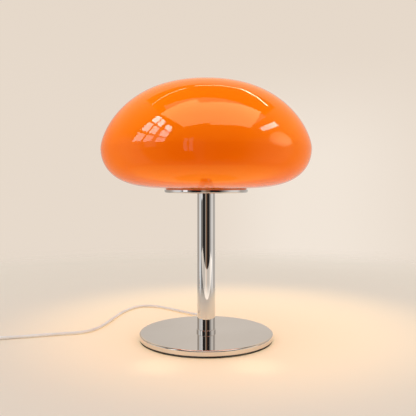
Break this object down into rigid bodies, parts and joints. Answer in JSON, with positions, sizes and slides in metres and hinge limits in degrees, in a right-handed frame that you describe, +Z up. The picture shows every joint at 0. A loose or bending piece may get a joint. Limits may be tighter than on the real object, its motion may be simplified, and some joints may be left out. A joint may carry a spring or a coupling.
{
  "type": "table lamp",
  "caption": "Mushroom table lamp: wide orange glass shade lifting off a chrome stem on a flat round base, with a thin cord, push switch, tied coil and flat plug.",
  "frame": {"origin": "centre of the foot pad's underside, on the table", "axes": "+Z up along the stem, +Y to the back where the cord leaves, +X to the viewer's right"},
  "size_m": [0.4323, 0.2487, 0.26],
  "materials": {
    "chrome_cover": "polished chrome plate",
    "chrome_stem": "polished chrome plate",
    "orange_glass": "glossy cased glass, dense orange",
    "black_rubber": "matt foam rubber",
    "zinc_steel": "bright zinc plate",
    "cast_weight": "black enamelled weight",
    "white_plastic": "moulded, fine satin",
    "white_gloss": "moulded, glossy",
    "clear_silicone": "clear silicone rubber",
    "cast_aluminium": "die-cast, bead blasted",
    "white_board": "white solder mask",
    "green_board": "green solder mask",
    "light_chip": "yellow phosphor in a white case",
    "opal_plastic": "opal diffuser",
    "cord_sheath": "white round cord, satin",
    "lead_sheath": "thin twin lead",
    "gilt_contact": "gilt",
    "hook_strap": "white hook and loop strap"
  },
  "bodies": {
    "root": {"base_cover": "chrome_cover", "base_weight": "cast_weight", "foot_pad": "black_rubber", "base_washer": "zinc_steel", "base_nut": "zinc_steel", "cord_bushing": "white_plastic", "cord_stop": "zinc_steel", "cord_in_base": "cord_sheath", "stem_tube": "chrome_stem", "foot_ring": "chrome_stem", "lower_bush": "white_plastic", "upper_bush": "white_plastic", "threaded_rod": "zinc_steel", "plate_washer": "zinc_steel", "plate_nut": "zinc_steel", "shade_plate": "chrome_stem", "shade_gasket": "clear_silicone", "light_tray": "cast_aluminium", "light_board": "white_board", "light_chips": "light_chip", "tray_screws": "zinc_steel", "light_diffuser": "opal_plastic", "lead_socket": "white_gloss", "inner_lead": "lead_sheath", "cord_to_switch": "cord_sheath", "switch_bottom": "white_gloss", "switch_top": "white_gloss", "switch_screws": "zinc_steel", "switch_board": "green_board", "push_contact": "gilt_contact", "cord_coil": "cord_sheath", "coil_tie": "hook_strap", "cord_to_coil": "cord_sheath", "cord_to_plug": "cord_sheath", "plug_grip": "white_gloss", "plug_sleeve": "zinc_steel", "plug_tongue": "white_plastic", "plug_contacts": "gilt_contact"},
    "shade": {"glass_shade": "orange_glass"},
    "button": {"switch_button": "white_plastic", "contact_plunger": "white_plastic"}
  },
  "joints": [
    {"name": "shade_lift", "type": "slide", "parent": "root", "child": "shade", "axis": [0, 0, 1], "range_m": [0, 0.04]},
    {"name": "button_press", "type": "slide", "parent": "root", "child": "button", "axis": [0, 0, -1], "range_m": [0, 0.0008], "stiffness_N_per_m": 600, "springref_m": -0.0005}
  ]
}
